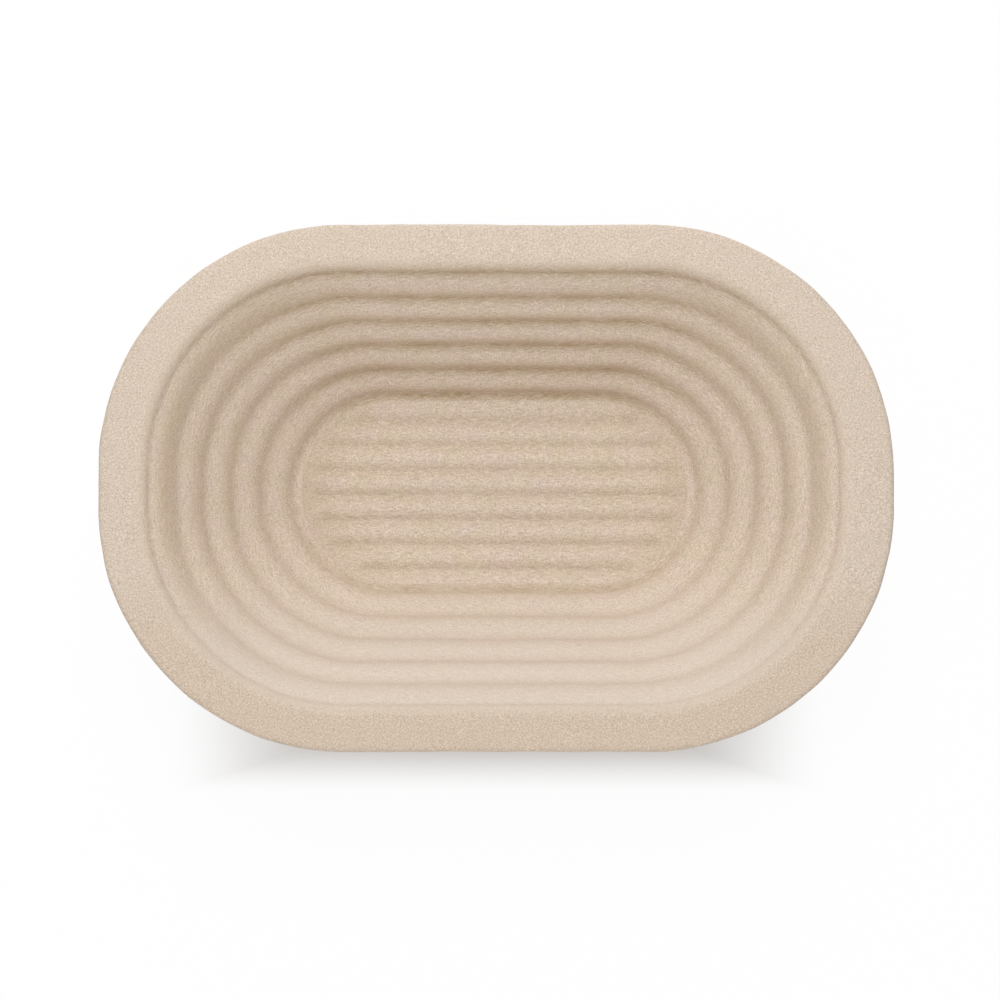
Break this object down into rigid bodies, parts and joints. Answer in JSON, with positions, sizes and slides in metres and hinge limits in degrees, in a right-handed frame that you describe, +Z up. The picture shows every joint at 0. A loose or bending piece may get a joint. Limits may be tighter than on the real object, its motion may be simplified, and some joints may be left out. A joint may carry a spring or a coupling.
{
  "type": "proofing basket",
  "caption": "Oblong moulded wood-pulp proofing basket with a wide flat rim, convex rings down its sloping wall and straight ridges along its floor, for shaping bread dough.",
  "frame": {"origin": "centre of the underside of the base, on the surface that the basket stands on", "axes": "+Z up through the mouth, +X along the basket's length, +Y across its width"},
  "size_m": [0.3, 0.199, 0.08],
  "materials": {
    "wood_pulp": "matte"
  },
  "bodies": {
    "root": {"basket_shell": "wood_pulp"}
  },
  "joints": []
}
